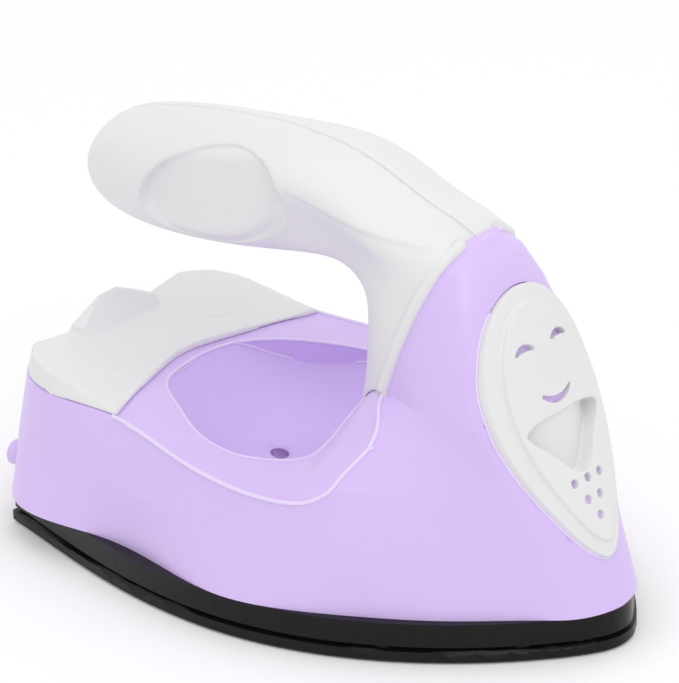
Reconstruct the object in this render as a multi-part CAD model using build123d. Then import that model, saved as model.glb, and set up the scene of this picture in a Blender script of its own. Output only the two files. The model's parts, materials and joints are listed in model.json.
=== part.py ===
from build123d import *
import os
from math import copysign, cos, radians, sin, tan

# Mini craft iron, in millimetres. The origin is the centre of the ironing face,
# +X points to the nose, +Y to the iron's left side and +Z up.

# Driving sizes of the whole iron
sole_length = 125.0
sole_half_width = 40.7
heel_half_width = 28.5
nose_half_width = 6.0
nose_arc_depth = 2.0
widest_place = -4.8
tower_top_height = 73.0
deck_height = 28.3

# Fits
face_clearance = 0.15
seat_clearance = 0.17
running_clearance = 0.05
overrun = 1.0

# Ironing plate and heat shield
rim_height = 2.4
seat_step_height = 0.8
seat_inset = 1.1
casting_height = 4.6
casting_inset = 2.4
rim_bevel = 0.5
shield_inset = 0.4
shield_wall = 1.6
shield_flange_width = 5.0
shield_flange_height = 1.4
shell_bottom = 7.8
shield_bottom = rim_height + seat_step_height

# Housing
wall = 2.0

ALIGN_UP = (Align.CENTER, Align.CENTER, Align.MIN)
UPWARDS = (0, 0, 1)

# Shares that shape the outline's two curves, from its corner to its widest place and on to the nose
nose_inset_share = 0.45
heel_rise_share = 0.45
heel_reach_share = 0.33
widest_back_share = 0.36
widest_front_share = 0.62
nose_lead_share = 0.16


def boat_face(inset):
    """Flat boat-shaped face at height zero, moved inwards by an inset."""
    heel = -sole_length / 2 + inset
    tip_x = sole_length / 2 - inset
    corner = (heel, heel_half_width - inset)
    widest = (widest_place, sole_half_width - inset)
    nose = (tip_x - nose_arc_depth, nose_half_width - inset * nose_inset_share)
    back_reach = widest[0] - corner[0]
    front_reach = tip_x - widest[0]
    rise = (widest[1] - corner[1]) * heel_rise_share
    back_curve = [
        corner,
        (corner[0] + back_reach * heel_reach_share, corner[1] + rise),
        (widest[0] - back_reach * widest_back_share, widest[1]),
        widest,
    ]
    front_curve = [
        widest,
        (widest[0] + front_reach * widest_front_share, widest[1]),
        (nose[0], nose[1] + nose[1] * nose_lead_share),
        nose,
    ]
    left = [Bezier(*back_curve), Bezier(*front_curve)]
    right = [Bezier(*[(x, -y) for x, y in curve]) for curve in (back_curve, front_curve)]
    tip = ThreePointArc(nose, (tip_x, 0), (nose[0], -nose[1]))
    heel_line = Line((corner[0], -corner[1]), corner)
    return Face(Wire(left + right + [tip, heel_line]))


def boat_plate(inset, low, high):
    """Solid of the boat outline between two heights."""
    return Pos(0, 0, low) * extrude(boat_face(inset), high - low, dir=UPWARDS)


def rod(radius, start, end):
    """Round rod from one point to another."""
    reach = Vector(*end) - Vector(*start)
    return extrude(Plane(origin=start, z_dir=reach) * Circle(radius), reach.length)


def block(low, high):
    """Box between two corners."""
    size = [b - a for a, b in zip(low, high)]
    return Pos(*low) * Box(*size, align=(Align.MIN, Align.MIN, Align.MIN))


def disc(radius, place, low, high):
    """Upright cylinder at a place, between two heights."""
    return Pos(place[0], place[1], low) * Cylinder(radius, high - low, align=ALIGN_UP)


# Screws: a domed head with a cross recess
screw_radius = 1.4
screw_hole_radius = 1.65
screw_head_radius = 2.5
screw_head_height = 1.6
small_radius = 0.9
small_head_radius = 1.8
small_head_height = 1.1
thread_bite = 0.05
head_round_share = 0.5
slot_floor_share = 0.45
slot_reach_share = 1.1
slot_width_share = 0.26


def screw(place, length, radius, head_radius, head_height, out=UPWARDS):
    """Screw whose head sits on the place and looks outwards along a direction."""
    plane = Plane(origin=place, z_dir=out)
    head = Cylinder(head_radius, head_height, align=ALIGN_UP)
    head = fillet(head.edges().sort_by(Axis.Z)[-1], head_height * head_round_share)
    reach = head_radius * slot_reach_share
    width = head_radius * slot_width_share
    cross = Box(reach, width, head_height, align=ALIGN_UP) + Box(width, reach, head_height, align=ALIGN_UP)
    head -= Pos(0, 0, head_height * slot_floor_share) * cross
    shank = Rot(180, 0, 0) * Cylinder(radius, length, align=ALIGN_UP)
    return plane * (head + shank)


# Walls of the housing: one row for each level, with its height as a share of the wall height,
# its heel end and nose end as shares of the sole's length, and its half widths as shares of the
# sole's greatest half width at the stations named below
wall_station_shares = (0.0, 0.18, 0.46, 0.64, 0.76, 0.86, 0.93, 0.965, 0.99)
wall_level_shares = (
    (0.000, -0.503, 0.496, (0.673, 0.875, 0.980, 0.885, 0.703, 0.501, 0.334, 0.251, 0.133)),
    (0.172, -0.501, 0.466, (0.619, 0.808, 0.909, 0.835, 0.671, 0.474, 0.334, 0.256, 0.138)),
    (0.340, -0.498, 0.428, (0.554, 0.734, 0.841, 0.790, 0.637, 0.472, 0.370, 0.314, 0.174)),
    (0.448, -0.494, 0.402, (0.491, 0.639, 0.725, 0.676, 0.548, 0.447, 0.388, 0.349, 0.194)),
    (0.548, -0.488, 0.379, (0.295, 0.319, 0.332, 0.319, 0.344, 0.413, 0.408, 0.364, 0.197)),
    (0.709, -0.480, 0.346, (0.197, 0.221, 0.246, 0.270, 0.315, 0.365, 0.366, 0.334, 0.187)),
    (0.847, -0.480, 0.315, (0.147, 0.172, 0.197, 0.221, 0.265, 0.315, 0.314, 0.285, 0.167)),
    (0.939, -0.480, 0.294, (0.123, 0.135, 0.160, 0.180, 0.214, 0.256, 0.256, 0.221, 0.128)),
    (1.000, -0.480, 0.266, (0.098, 0.105, 0.115, 0.123, 0.140, 0.163, 0.155, 0.128, 0.074)),
)
surface_tolerance = 0.02


def wall_points(level, inset, low):
    """Points round the walls at one level, from the left heel corner over the nose to the right one."""
    height_share, heel_share, nose_share, width_shares = level
    z = low + height_share * (tower_top_height - inset - low)
    heel = heel_share * sole_length + inset
    nose = nose_share * sole_length - inset
    stations = [heel + share * (nose - heel) for share in wall_station_shares]
    left = [(x, share * sole_half_width - inset, z) for x, share in zip(stations, width_shares)]
    return left + [(nose, 0, z)] + [(x, -y, z) for x, y, z in reversed(left)]


def halfway(one, other):
    """Level halfway between two levels."""
    widths = tuple((a + b) / 2 for a, b in zip(one[3], other[3]))
    return tuple((a + b) / 2 for a, b in zip(one[:3], other[:3])) + (widths,)


def wall_solid(inset, low):
    """Solid inside the housing's walls, moved inwards by an inset."""
    levels = [wall_level_shares[0]]
    for lower, upper in zip(wall_level_shares, wall_level_shares[1:]):
        levels += [halfway(lower, upper), upper]
    grid = [[Vector(*point) for point in wall_points(level, inset, low)] for level in levels]
    side = Face.make_surface_from_array_of_points(grid, tol=surface_tolerance)
    edges = side.edges().sort_by(Axis.Z)
    floor = Face(Wire([edges[0], Line(edges[0] @ 1, edges[0] @ 0)]))
    roof = Face(Wire([edges[-1], Line(edges[-1] @ 1, edges[-1] @ 0)]))
    uprights = [edge if (edge @ 0).Z < (edge @ 1).Z else edge.reversed() for edge in edges[1:3]]
    heel = Face.make_surface_from_curves(uprights[0], uprights[1])
    return Solid(Shell([side, floor, roof, heel]))


# Deck surface: heights as shares of the deck height, for places along the iron as shares of the
# sole's length and across it as shares of its half width
deck_place_shares = (-0.600, -0.520, -0.440, -0.350, -0.256, -0.165, -0.072, -0.024, 0.024, 0.080, 0.142, 0.190, 0.240, 0.300)
deck_rows_shares = (
    (0.000, (1.088, 1.083, 1.078, 1.073, 1.067, 1.039, 1.011, 1.088, 1.166, 1.396, 1.608, 1.772, 1.943, 2.150)),
    (0.197, (1.088, 1.083, 1.078, 1.073, 1.067, 1.037, 1.007, 1.069, 1.131, 1.364, 1.583, 1.742, 1.908, 2.110)),
    (0.332, (1.088, 1.083, 1.078, 1.073, 1.067, 1.036, 1.004, 1.035, 1.067, 1.279, 1.516, 1.673, 1.837, 2.030)),
    (0.430, (1.088, 1.084, 1.080, 1.076, 1.071, 1.036, 1.000, 1.010, 1.021, 1.187, 1.385, 1.546, 1.714, 1.900)),
    (0.565, (1.088, 1.084, 1.080, 1.076, 1.071, 1.036, 1.000, 0.991, 0.982, 1.074, 1.208, 1.343, 1.484, 1.650)),
    (0.713, (1.088, 1.084, 1.080, 1.076, 1.071, 1.036, 1.000, 0.983, 0.965, 0.989, 1.064, 1.183, 1.307, 1.450)),
    (0.885, (1.088, 1.085, 1.081, 1.078, 1.074, 1.039, 1.004, 0.983, 0.961, 0.958, 0.975, 1.025, 1.078, 1.150)),
    (1.130, (1.088, 1.085, 1.081, 1.078, 1.074, 1.039, 1.004, 0.983, 0.961, 0.954, 0.961, 0.984, 1.007, 1.040)),
)

# Tower rear: the junction plane leans forward from the front of the handle's foot
foot_front = 17.8
foot_height = 43.6
junction_lean = 23.6
tower_rear_shares = ((0.315, 0.0), (0.418, 0.028), (0.565, 0.042), (0.737, 0.074), (1.130, 0.130))


def junction_x(height):
    """Where the junction plane lies at a height."""
    return foot_front + (height - foot_height) * tan(radians(junction_lean))


def junction_plane(shift, height):
    """Plane along the junction, moved forward by a shift, with its z pointing forward and down."""
    lean = radians(junction_lean)
    return Plane(origin=(junction_x(height) + shift, 0, height), x_dir=(0, 1, 0), z_dir=(cos(lean), 0, -sin(lean)))


def deck_cutter(drop, tower_inset):
    """Everything above the deck and behind the tower."""
    grid = []
    for side, rows in ((1, reversed(deck_rows_shares)), (-1, deck_rows_shares[1:])):
        for across, heights in rows:
            places = zip(deck_place_shares, heights)
            grid.append([Vector(x * sole_length, side * across * sole_half_width, h * deck_height - drop) for x, h in places])
    surface = Face.make_surface_from_array_of_points(grid)
    above = extrude(surface, tower_top_height, dir=UPWARDS)
    front = foot_front + tower_inset
    left = [(front + lead * sole_length, across * sole_half_width) for across, lead in tower_rear_shares]
    right = [(x, -y) for x, y in left]
    outline = [(sole_length, right[-1][1]), (sole_length, left[-1][1])] + left[::-1] + right
    tower = extrude(make_face(Polyline(*outline, close=True)), tower_top_height + deck_height, dir=UPWARDS)
    lean = split(tower, bisect_by=junction_plane(tower_inset, foot_height), keep=Keep.TOP)
    return above - lean


# Finger dish: a tilted ellipsoid inside an egg-shaped outline
dish_centre = (-13.0, 0, 46.0)
dish_radii = (31.0, 31.5, 31.0)
dish_tilt = 8.0
dish_rear = -39.5
dish_length = 51.5
dish_half_width = 25.0
dish_shares = (
    (0.0, 0.0),
    (0.05, 0.44),
    (0.24, 0.75),
    (0.42, 0.95),
    (0.66, 1.0),
    (0.85, 0.82),
    (0.93, 0.55),
    (1.0, 0.0),
)


def dish_cutter(grow):
    """Hollow of the finger dish, enlarged by the housing's wall where grow is given."""
    radii = [radius + grow for radius in dish_radii]
    bowl = Pos(*dish_centre) * Rot(0, dish_tilt, 0) * scale(Sphere(1), by=tuple(radii))
    half_width = dish_half_width + grow
    left = [(dish_rear - grow + a * (dish_length + 2 * grow), b * half_width) for a, b in dish_shares]
    right = [(x, -y) for x, y in reversed(left[1:-1])]
    outline = Spline(*(left + right), periodic=True)
    return bowl & extrude(make_face(outline), tower_top_height, dir=UPWARDS)


# Front panel: an oval in a plane that leans back with the tower's front
panel_top = (39.3, 0, 65.4)
panel_lean = 22.7
panel_length = 52.3
panel_half_width = 14.5
panel_proud = 0.9
panel_depth = 1.0
panel_ledge = 3.0
panel_swell = 0.8
panel_reach = 12.0
panel_sink = 7.0
panel_shares = (
    (0.0, 0.0),
    (0.035, 0.42),
    (0.14, 0.78),
    (0.33, 1.0),
    (0.53, 0.96),
    (0.70, 0.76),
    (0.84, 0.52),
    (0.945, 0.28),
    (1.0, 0.0),
)
lip_place = 24.0
scoop_foot_place = 35.8
scoop_half_width = 10.0
scoop_shares = ((0.0, 0.0), (0.02, 0.70), (0.12, 1.0), (0.45, 0.72), (0.80, 0.38), (0.97, 0.16), (1.0, 0.0))
chin_radius = 16.0
chin_sink = 2.6
face_thickness = 1.0
vent_radius = 0.85
vent_rows = ((37.1, (-3.6, 0.0, 3.6)), (40.8, (-1.7, 1.7)), (44.3, (0.0,)))
eye_places = ((11.9, -4.8), (11.9, 4.8))
eye_half_width = 2.8
eye_rise = 1.9
mouth_place = 19.0
mouth_half_width = 5.0
mouth_drop = 3.3
cut_thickness = 1.3


def panel_plane():
    """Plane of the panel: x runs down the tower's front, y to the left and z outwards."""
    lean = radians(panel_lean)
    return Plane(origin=panel_top, x_dir=(sin(lean), 0, -cos(lean)), z_dir=(cos(lean), 0, sin(lean)))


def mirrored_face(points):
    """Smooth face through points on its left side, which start and end on its middle line."""
    right = [(x, -y) for x, y in reversed(points[1:-1])]
    return make_face(Spline(*(list(points) + right), periodic=True))


def through_panel(face):
    """Straight prism of a face in the panel's plane."""
    return extrude(panel_plane().offset(-panel_sink) * face, panel_sink + panel_reach)


def panel_prism(shrink):
    """Prism of the panel's oval, made smaller all round by shrink."""
    length = panel_length - 2 * shrink
    return through_panel(mirrored_face([(shrink + a * length, b * (panel_half_width - shrink)) for a, b in panel_shares]))


def scoop_prism(grow):
    """Prism of the scoop under the smile, enlarged all round by grow."""
    length = scoop_foot_place - lip_place + 2 * grow
    start = lip_place - grow
    return through_panel(mirrored_face([(start + a * length, b * (scoop_half_width + grow)) for a, b in scoop_shares]))


def chin(inset):
    """Round column whose front is the floor of the scoop."""
    lip = panel_plane().from_local_coords(Vector(lip_place, 0, 0))
    foot = panel_plane().from_local_coords(Vector(scoop_foot_place, 0, -chin_sink))
    down = (foot - lip).normalized()
    back = Vector(down.Z, 0, -down.X)
    start = Plane(origin=lip - down * panel_length + back * chin_radius, x_dir=(0, 1, 0), z_dir=down)
    return extrude(start * Circle(chin_radius - inset), panel_length * 2)


def smile(place, across, half_width, drop):
    """Crescent in the panel's plane that hangs down from its two ends, or rises where drop is negative."""
    ends = [(place, across - half_width), (place, across + half_width)]
    outer = ThreePointArc(ends[0], (place + drop, across), ends[1])
    inner = ThreePointArc(ends[1], (place + drop - copysign(cut_thickness, drop), across), ends[0])
    return make_face([outer, inner])


def panel_seat():
    """Recess of the front panel in the housing."""
    recess = panel_prism(-seat_clearance) - wall_solid(panel_depth, shell_bottom)
    grown = face_thickness + seat_clearance
    return recess + (scoop_prism(grown) - chin(grown))


def make_front_panel():
    """White oval panel with the smile, the scoop under it and the six holes."""
    skin = panel_prism(0) & wall_solid(-panel_proud, shell_bottom)
    skin += panel_prism(panel_ledge) & wall_solid(-panel_proud - panel_swell, shell_bottom)
    tray = (scoop_prism(face_thickness) & skin) - chin(face_thickness)
    panel = skin - wall_solid(panel_depth, shell_bottom) + tray
    panel -= scoop_prism(0) - chin(0)
    for place, acrosses in vent_rows:
        for across in acrosses:
            panel -= through_panel(Pos(place, across) * Circle(vent_radius))
    for place, across in eye_places:
        panel -= through_panel(smile(place, across, eye_half_width, -eye_rise))
    panel -= through_panel(smile(mouth_place, 0, mouth_half_width, mouth_drop))
    return panel


# Places of the screws that hold the housing, and of what is moulded inside it
screw_places = ((-48.0, 16.0), (-48.0, -16.0), (50.0, 0.0))
screw_seat = 13.0
post_height = 9.0
post_radius = 3.2
boss_radius = 4.0
well_radius = 2.9
peg_half_spread = 22.0
peg_height = 11.0
peg_radius = 2.5
peg_bore = 1.5
peg_length = 4.4
peg_root = 5.4
heel_face = -62.8
carrier_boss_spread = 10.0
carrier_boss_radius = 2.4
indicator_x = -19.0
indicator_hole_radius = 1.75
board_low = 9.5
board_thickness = 1.0
board_stake_radius = 0.8
board_post_radius = 1.6
board_post_spread = 7.0
lug_half_width = 5.0
lug_low = 50.0
lug_high = 62.0
boss_rise = 1.2
boss_trim = 1.4
hollow_deck_height = 24.9
hollow_roof = 66.0
tower_room_shares = ((0.290, 0.0), (0.400, 0.030), (0.540, 0.050), (0.737, 0.090), (1.130, 0.150))
ramp_corners = ((4.0, 24.0), (22.0, 24.0), (22.0, 41.0), (17.0, 38.0), (9.0, 32.0))
ramp_half_width = 11.0


def lug(grow, reach):
    """Lug of the handle, which fills an opening in the tower's rear wall."""
    half = lug_half_width + grow
    middle = (lug_low + lug_high) / 2
    length = (lug_high - lug_low) / cos(radians(junction_lean)) + 2 * grow
    start = junction_plane(-reach, middle)
    return extrude(start * Rectangle(2 * half, length), 2 * reach)


def housing_hollow():
    """Space inside the housing: a low room under the deck, the tower's room and a ramp between them."""
    inside = wall_solid(wall, shell_bottom - overrun)
    room = 2 * sole_length
    low_room = inside & block((-room, -room, 0), (room, room, hollow_deck_height))
    front = foot_front + wall
    left = [(front + lead * sole_length, across * sole_half_width) for across, lead in tower_room_shares]
    right = [(x, -y) for x, y in left]
    outline = [(room, right[-1][1]), (room, left[-1][1])] + left[::-1] + right
    tower = Pos(0, 0, hollow_deck_height - overrun) * extrude(make_face(Polyline(*outline, close=True)), hollow_roof, dir=UPWARDS)
    tower &= block((0, -room, 0), (room, room, hollow_roof))
    tower = split(tower, bisect_by=junction_plane(wall, foot_height), keep=Keep.TOP)
    profile = Plane.XZ * make_face(Polyline(*ramp_corners, close=True))
    ramp = extrude(profile, ramp_half_width, both=True)
    return low_room + (inside & tower) + ramp - dish_cutter(wall)


def make_body_shell():
    """Lavender housing with the deck, the dish, the tower, the panel seat and the heel pegs."""
    solid = wall_solid(0, shell_bottom) - deck_cutter(0, 0)
    solid -= dish_cutter(0)
    seat = panel_seat()
    shell = solid - housing_hollow()
    for place in screw_places:
        if place[0] < 0:
            shell += disc(boss_radius, place, post_height, deck_height + boss_rise)
        else:
            shell += disc(boss_radius, place, post_height, tower_top_height) & wall_solid(boss_trim, shell_bottom)
    shell -= seat
    for place in screw_places:
        shell -= disc(well_radius, place, screw_seat, tower_top_height)
        shell -= disc(screw_hole_radius, place, 0, tower_top_height)
    for side in (1, -1):
        y = side * peg_half_spread
        root = (heel_face + peg_root, y, peg_height)
        tip = (heel_face - peg_length, y, peg_height)
        shell += rod(peg_radius, root, tip)
        shell -= rod(peg_bore, root, (tip[0] - overrun, y, peg_height))
        boss_y = side * carrier_boss_spread
        boss_start = (heel_face + overrun, boss_y, peg_height)
        shell += rod(carrier_boss_radius, boss_start, (root[0], boss_y, peg_height))
        shell -= rod(small_radius - thread_bite, (boss_start[0] + overrun, boss_y, peg_height), (root[0], boss_y, peg_height))
        post = (indicator_x + side * board_post_spread, 0)
        shell += disc(board_post_radius, post, board_low + board_thickness, deck_height) - dish_cutter(wall / 2)
        shell += disc(board_stake_radius, post, board_low - board_thickness / 2, board_low + board_thickness)
    shell -= disc(indicator_hole_radius, (indicator_x, 0), 0, deck_height)
    shell -= lug(face_clearance, 2 * wall)
    return shell


# Handle: sections that fan from the tail along the arm and round the arch into the column.
# Each row gives the section's inner and outer end in the middle plane and its half width.
handle_tail = (-61.5, 66.8)
handle_sections = (
    ((-58.6, 61.6), (-59.4, 73.0), 6.4, "egg"),
    ((-54.0, 58.6), (-54.6, 77.4), 9.8, "egg"),
    ((-46.0, 57.0), (-46.5, 80.6), 12.4, "egg"),
    ((-34.0, 57.0), (-34.0, 82.9), 13.6, "egg"),
    ((-20.0, 58.6), (-20.0, 84.4), 13.8, "egg"),
    ((-8.0, 60.8), (-6.5, 84.4), 13.5, "cap"),
    ((0.5, 61.6), (7.5, 81.7), 13.4, "cap"),
    ((4.6, 60.2), (20.5, 76.4), 13.4, "cap"),
    ((6.9, 56.8), (32.0, 70.5), 13.4, "column"),
    ((7.6, 51.5), (29.5, 58.5), 13.6, "column"),
    ((7.4, 45.5), (25.5, 47.5), 13.2, "column"),
    ((6.4, 38.5), (22.0, 38.5), 12.8, "column"),
    ((5.6, 33.0), (19.5, 32.0), 12.6, "column"),
)
handle_form_shares = {
    "egg": ((0.06, 0.42), (0.28, 0.90), (0.52, 1.00), (0.78, 0.80), (0.95, 0.36)),
    "cap": ((0.05, 0.40), (0.26, 0.62), (0.52, 0.86), (0.74, 1.00), (0.94, 0.52)),
    "column": ((0.05, 0.38), (0.24, 0.74), (0.50, 0.95), (0.76, 1.00), (0.96, 0.80)),
}
handle_wall = 2.4
joint_pin_radius = 1.5
joint_pin_length = 5.0
joint_pin_places = ((-44.0, 69.5), (-8.0, 72.5))
thumb_centre = (-22.8, 70.8)
thumb_radii = (17.8, 9.6)
thumb_tilt = 18.0
thumb_level = 10.8


def handle_section(row, inset):
    """Closed section of the handle between its inner and outer end."""
    inner, outer, half_width, form = row
    start = Vector(inner[0], 0, inner[1])
    reach = Vector(outer[0], 0, outer[1]) - start
    unit = reach.normalized()
    start = start + unit * inset
    length = reach.length - 2 * inset
    width = half_width - inset
    left = [start + unit * (length * t) + Vector(0, width * w, 0) for t, w in handle_form_shares[form]]
    right = [Vector(p.X, -p.Y, p.Z) for p in reversed(left)]
    return Face(Wire(Spline(*([start] + left + [start + unit * length] + right), periodic=True)))


def handle_solid(inset):
    """Whole handle before it is trimmed to the tower and the deck."""
    faces = [handle_section(row, inset) for row in handle_sections]
    if inset > 0:
        return loft(faces)
    return loft([Vertex(handle_tail[0], 0, handle_tail[1])] + faces)


def thumb_cutters(grow):
    """Oval blocks that flatten both sides of the grip, enlarged all round by grow."""
    oval = Pos(*thumb_centre) * Rot(0, 0, thumb_tilt) * Ellipse(thumb_radii[0] + grow, thumb_radii[1] + grow)
    level = thumb_level - grow
    return [extrude(Plane.XZ.offset(-side * level) * oval, -side * sole_half_width) for side in (1, -1)]


def make_handle():
    """Left and right half shells of the handle."""
    skin = handle_solid(0) & deck_cutter(0, 0)
    skin -= thumb_cutters(0)
    hollow = handle_solid(handle_wall) & deck_cutter(-handle_wall, -handle_wall)
    hollow -= thumb_cutters(handle_wall)
    whole = skin - hollow + lug(0, wall * lug_reach_share)
    core = handle_solid(handle_wall / 2)
    for x, z in joint_pin_places:
        whole += (Pos(x, 0, z) * Rot(90, 0, 0) * Cylinder(joint_pin_radius * 2, sole_length)) & core
    room = 2 * sole_length
    halves = [whole & block((-room, low, 0), (room, high, room)) for low, high in ((0, room), (-room, 0))]
    for x, z in joint_pin_places:
        across = Pos(x, 0, z) * Rot(90, 0, 0)
        halves[0] += across * Cylinder(joint_pin_radius, joint_pin_length)
        halves[1] -= across * Cylinder(joint_pin_radius + face_clearance, joint_pin_length + face_clearance)
    pilot = clamp_screw_rods(small_radius - thread_bite)
    return [half - pilot for half in halves]


# The lug ends a little before the inside of the tower's wall, so its clamp plate pulls it tight
lug_reach_share = 0.8
clamp_half_width = 8.0
clamp_half_height = 7.5
clamp_thickness = 1.2
clamp_screw_spread = 2.5
clamp_screw_length = 7.0


def clamp_screw_rods(radius):
    """Rods along the two clamp screws."""
    plane = junction_plane(wall, (lug_low + lug_high) / 2)
    places = [plane * Pos(side * clamp_screw_spread, 0, -clamp_screw_length) for side in (1, -1)]
    return [place * Cylinder(radius, clamp_screw_length * 2, align=ALIGN_UP) for place in places]


def make_handle_clamp():
    """Steel plate inside the tower, behind the handle's lug."""
    plane = junction_plane(wall, (lug_low + lug_high) / 2)
    plate = extrude(plane * RectangleRounded(2 * clamp_half_width, 2 * clamp_half_height, clamp_thickness), clamp_thickness)
    return plate - clamp_screw_rods(small_radius + face_clearance)


def make_handle_screws():
    """Two screws through the clamp plate into the halves of the lug."""
    plane = junction_plane(wall, (lug_low + lug_high) / 2)
    screws = []
    for side in (1, -1):
        one = screw((0, 0, 0), clamp_screw_length, small_radius - thread_bite, small_head_radius, small_head_height)
        screws.append(plane * Pos(side * clamp_screw_spread, 0, clamp_thickness) * one)
    return Compound(children=screws)


# Rear cap: two flat wings, a sunk facet on each side of a hump at the heel
cap_wing_height = 34.8
cap_front_corner = (-32.4, 31.3)
cap_heel_corner = (-61.2, 20.0)
cap_front_middle = -42.0
cap_front_shares = ((1.2, -0.30), (1.0, 0.0), (0.76, 0.31), (0.485, 0.62), (0.16, 0.93), (0.0, 1.0))
cap_hump_top = 38.5
cap_hump_half_width = 2.3
cap_hump_shoulder = 10.5
cap_hump_sink = 3.0
cap_hump_front = -57.0
cap_hump_front_half_width = 8.5
cap_hump_front_height = 32.6
cap_facet_front = (-41.0, 20.0)
cap_facet_height = 31.6
cap_plug_radius = 2.7
cap_plug_length = 4.0


def plane_through(one, two, three):
    """Plane through three points whose normal points up."""
    first = Vector(*two) - Vector(*one)
    second = Vector(*three) - Vector(*one)
    normal = first.cross(second)
    if normal.Z < 0:
        normal = normal * -1
    return Plane(origin=one, x_dir=first, z_dir=normal)


def make_rear_cap():
    """White faceted cap at the heel end of the deck."""
    x_front, y_front = cap_front_corner
    depth = x_front - cap_front_middle
    front = [(x_front - depth * b, y_front * a) for a, b in cap_front_shares]
    front += [(x, -y) for x, y in reversed(front[:-1])]
    x_back = heel_face - overrun
    y_back = front[0][1]
    sides = [Line((x_back, y_back), front[0]), Line(front[-1], (x_back, -y_back)), Line((x_back, -y_back), (x_back, y_back))]
    outline = make_face([Spline(*front)] + sides)
    column = Pos(0, 0, deck_height) * extrude(outline, deck_height, dir=UPWARDS)
    column &= wall_solid(0, shell_bottom) & deck_cutter(0, 0)
    wing = column - above_cap() + (column & cap_hump())
    for place in screw_places[:2]:
        plug = disc(cap_plug_radius, place, deck_height - cap_plug_length, deck_height + cap_plug_length)
        wing += plug
    return wing


def above_cap():
    """Space above the cap's three planes: the facet in the middle and a wing that rises to each side."""
    hump_front = (cap_hump_front, cap_hump_front_half_width, cap_hump_front_height)
    facet_front = (cap_facet_front[0], cap_facet_front[1], cap_facet_height)
    heel = (cap_heel_corner[0], cap_heel_corner[1], cap_wing_height)
    room = block((-sole_length, -sole_length, 0), (sole_length, sole_length, sole_length))
    mirrored = [(x, -y, z) for x, y, z in (heel, hump_front, facet_front)]
    for plane in (
        plane_through(hump_front, mirrored[1], facet_front),
        plane_through(heel, hump_front, facet_front),
        plane_through(*mirrored),
    ):
        room = split(room, bisect_by=plane, keep=Keep.TOP)
    return room


def cap_hump():
    """Raised hump at the heel edge of the cap."""
    corners = [
        (-cap_hump_shoulder, cap_wing_height - cap_hump_sink),
        (-cap_hump_shoulder, cap_wing_height),
        (-cap_hump_half_width, cap_hump_top),
        (cap_hump_half_width, cap_hump_top),
        (cap_hump_shoulder, cap_wing_height),
        (cap_hump_shoulder, cap_wing_height - cap_hump_sink),
    ]
    profile = Plane(origin=(heel_face, 0, 0), x_dir=(0, 1, 0), z_dir=(1, 0, 0)) * make_face(Polyline(*corners, close=True))
    ridge = extrude(profile, cap_hump_front - heel_face, dir=(1, 0, 0))
    front = plane_through(
        (cap_heel_corner[0], 0, cap_hump_top),
        (cap_heel_corner[0], cap_hump_half_width, cap_hump_top),
        (cap_hump_front, 0, cap_hump_front_height),
    )
    return split(ridge, bisect_by=front, keep=Keep.BOTTOM)


# Heating element, insulation and clamp
element_radius = 2.2
element_spread = 13.0
element_front = 4.0
element_back = -32.0
element_height = 6.2
rib_half_width = 3.4
pin_radius = 0.9
pin_length = 5.0
bead_length = 3.0
bead_radius = 2.2
sheet_thickness = 0.4
sheet_low = element_height + element_radius
sheet_half_width = 22.0
sheet_back = -31.0
sheet_front = 12.0
clamp_bar_x = -4.0
clamp_bar_half_length = 22.0
clamp_bar_half_width = 3.5
clamp_bar_thickness = 1.2
clamp_bar_spread = 18.6
small_post_radius = 2.4
small_screw_length = 5.0


def element_path(start):
    """Centre line of the U-shaped element, whose arms start at a place along the iron."""
    left = (start, element_spread, element_height)
    right = (start, -element_spread, element_height)
    bend = [(element_front, y, element_height) for y in (element_spread, -element_spread)]
    tip = (element_front + element_spread, 0, element_height)
    return Wire([Line(left, bend[0]), ThreePointArc(bend[0], tip, bend[1]), Line(bend[1], right)])


def tube(radius, start):
    """Round tube along the element's centre line."""
    plane = Plane(origin=(start, element_spread, element_height), z_dir=(1, 0, 0))
    return sweep(plane * Circle(radius), element_path(start))


def make_soleplate():
    """Cast ironing plate with the rib of the element and the screw posts."""
    plate = loft([boat_face(rim_bevel), Pos(0, 0, rim_bevel) * boat_face(0)], ruled=True)
    plate += boat_plate(0, rim_bevel, rim_height)
    plate += boat_plate(seat_inset, rim_height, shield_bottom)
    plate += boat_plate(casting_inset, shield_bottom, casting_height)
    back = element_back
    plane = Plane(origin=(back, element_spread, casting_height), x_dir=(0, 1, 0), z_dir=(1, 0, 0))
    half_rise = element_height - casting_height
    path = Pos(0, 0, casting_height - element_height) * element_path(back)
    plate += sweep(plane * Rectangle(2 * rib_half_width, 2 * half_rise), path)
    plate -= tube(element_radius + running_clearance, back - pin_length - bead_length)
    for place in screw_places:
        plate += disc(post_radius, place, rim_height, post_height)
        plate -= disc(screw_radius - thread_bite, place, shield_bottom, post_height)
    for place, top in small_posts():
        plate += disc(small_post_radius, place, rim_height, top)
        plate -= disc(small_radius - thread_bite, place, shield_bottom, top)
    return plate


def make_heater_element():
    """Sheathed tubular element."""
    return tube(element_radius, element_back)


def make_heater_beads():
    """Ceramic beads on the element's two cold ends."""
    beads = []
    for y in (element_spread, -element_spread):
        bead = rod(bead_radius, (element_back - bead_length, y, element_height), (element_back, y, element_height))
        beads.append(bead - rod(pin_radius, (element_back - bead_length, y, element_height), (element_back, y, element_height)))
    return Compound(children=beads)


def make_heater_pins():
    """Cold pins that stand out of the element's ends."""
    start = element_back - pin_length
    return Compound(children=[rod(pin_radius, (start, y, element_height), (element_back, y, element_height)) for y in (element_spread, -element_spread)])


def bar_places():
    return [(clamp_bar_x, side * clamp_bar_spread) for side in (1, -1)]


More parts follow.
